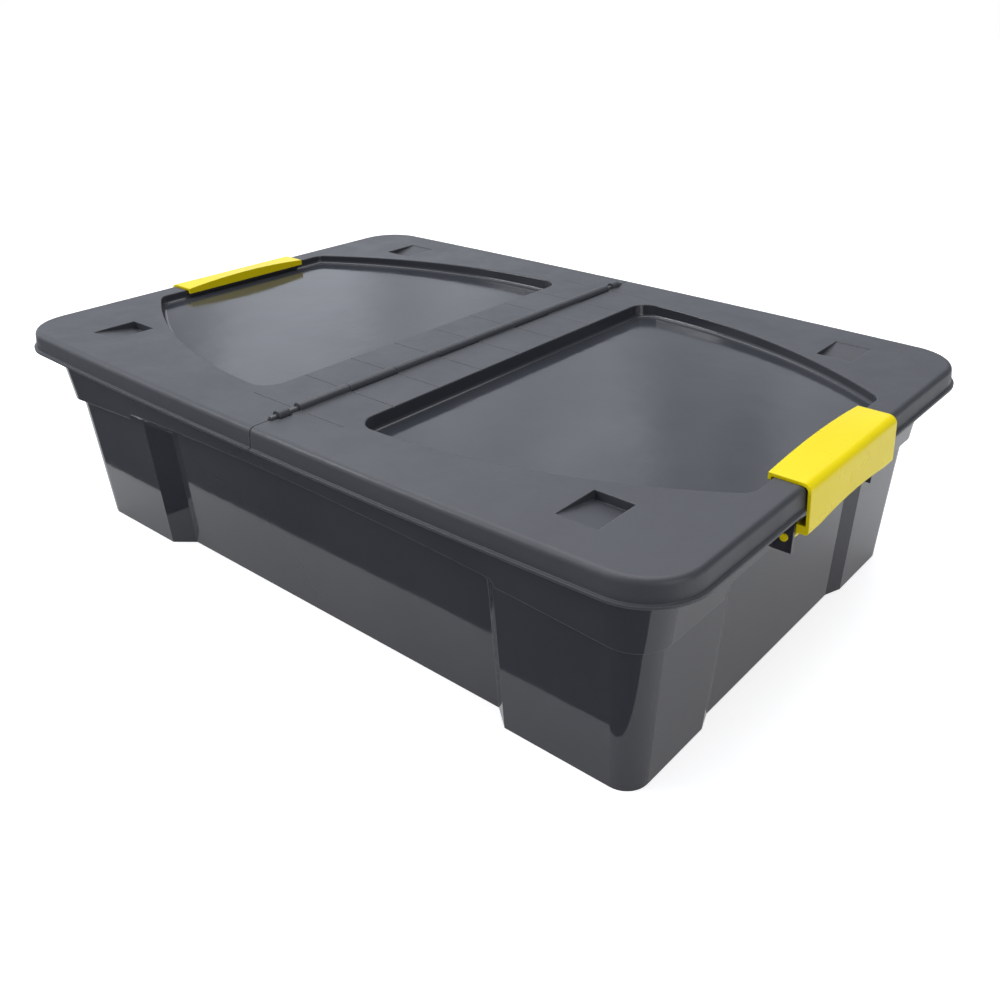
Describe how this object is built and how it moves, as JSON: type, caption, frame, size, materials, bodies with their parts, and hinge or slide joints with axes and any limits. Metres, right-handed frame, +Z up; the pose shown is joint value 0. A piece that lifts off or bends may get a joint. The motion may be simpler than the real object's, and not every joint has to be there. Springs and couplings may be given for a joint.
{
  "type": "under bed storage box",
  "caption": "Shallow under-bed storage tub with a lid split into hinged halves, each with a sunken window, and swinging clip latches on the ends.",
  "frame": {"origin": "on the floor, under the middle of the box", "axes": "+Z up, X along the box from latch to latch, Y across it along the lid's hinge"},
  "size_m": [0.6042, 0.4116, 0.1646],
  "materials": {
    "smoke_tub": "gloss smoke grey, slightly see-through",
    "smoke_lid": "fine grained smoke grey frame with smooth glossy windows",
    "yellow_clip": "smooth bright yellow",
    "rod": "smooth dark grey"
  },
  "bodies": {
    "tub": {"tub": "smoke_tub"},
    "lid_right": {"lid_right": "smoke_lid", "hinge_rod": "rod"},
    "lid_left": {"lid_left": "smoke_lid"},
    "latch_right": {"latch_right": "yellow_clip"},
    "latch_left": {"latch_left": "yellow_clip"}
  },
  "joints": [
    {"name": "lid_right_open", "type": "hinge", "parent": "tub", "child": "lid_right", "pos_m": [0, 0, 0.1607], "axis": [0, -1, 0], "range_deg": [0, 90]},
    {"name": "lid_left_open", "type": "hinge", "parent": "tub", "child": "lid_left", "pos_m": [0, 0, 0.1607], "axis": [0, 1, 0], "range_deg": [0, 90]},
    {"name": "latch_right_swing", "type": "hinge", "parent": "tub", "child": "latch_right", "pos_m": [0.287, 0, 0.1235], "axis": [0, 1, 0], "range_deg": [0, 100]},
    {"name": "latch_left_swing", "type": "hinge", "parent": "tub", "child": "latch_left", "pos_m": [-0.287, 0, 0.1235], "axis": [0, -1, 0], "range_deg": [0, 100]}
  ],
  "couplings": [
    {"joint": "latch_right_swing", "follows": "lid_right_open", "ratio": 1.11},
    {"joint": "latch_left_swing", "follows": "lid_left_open", "ratio": 1.11}
  ]
}
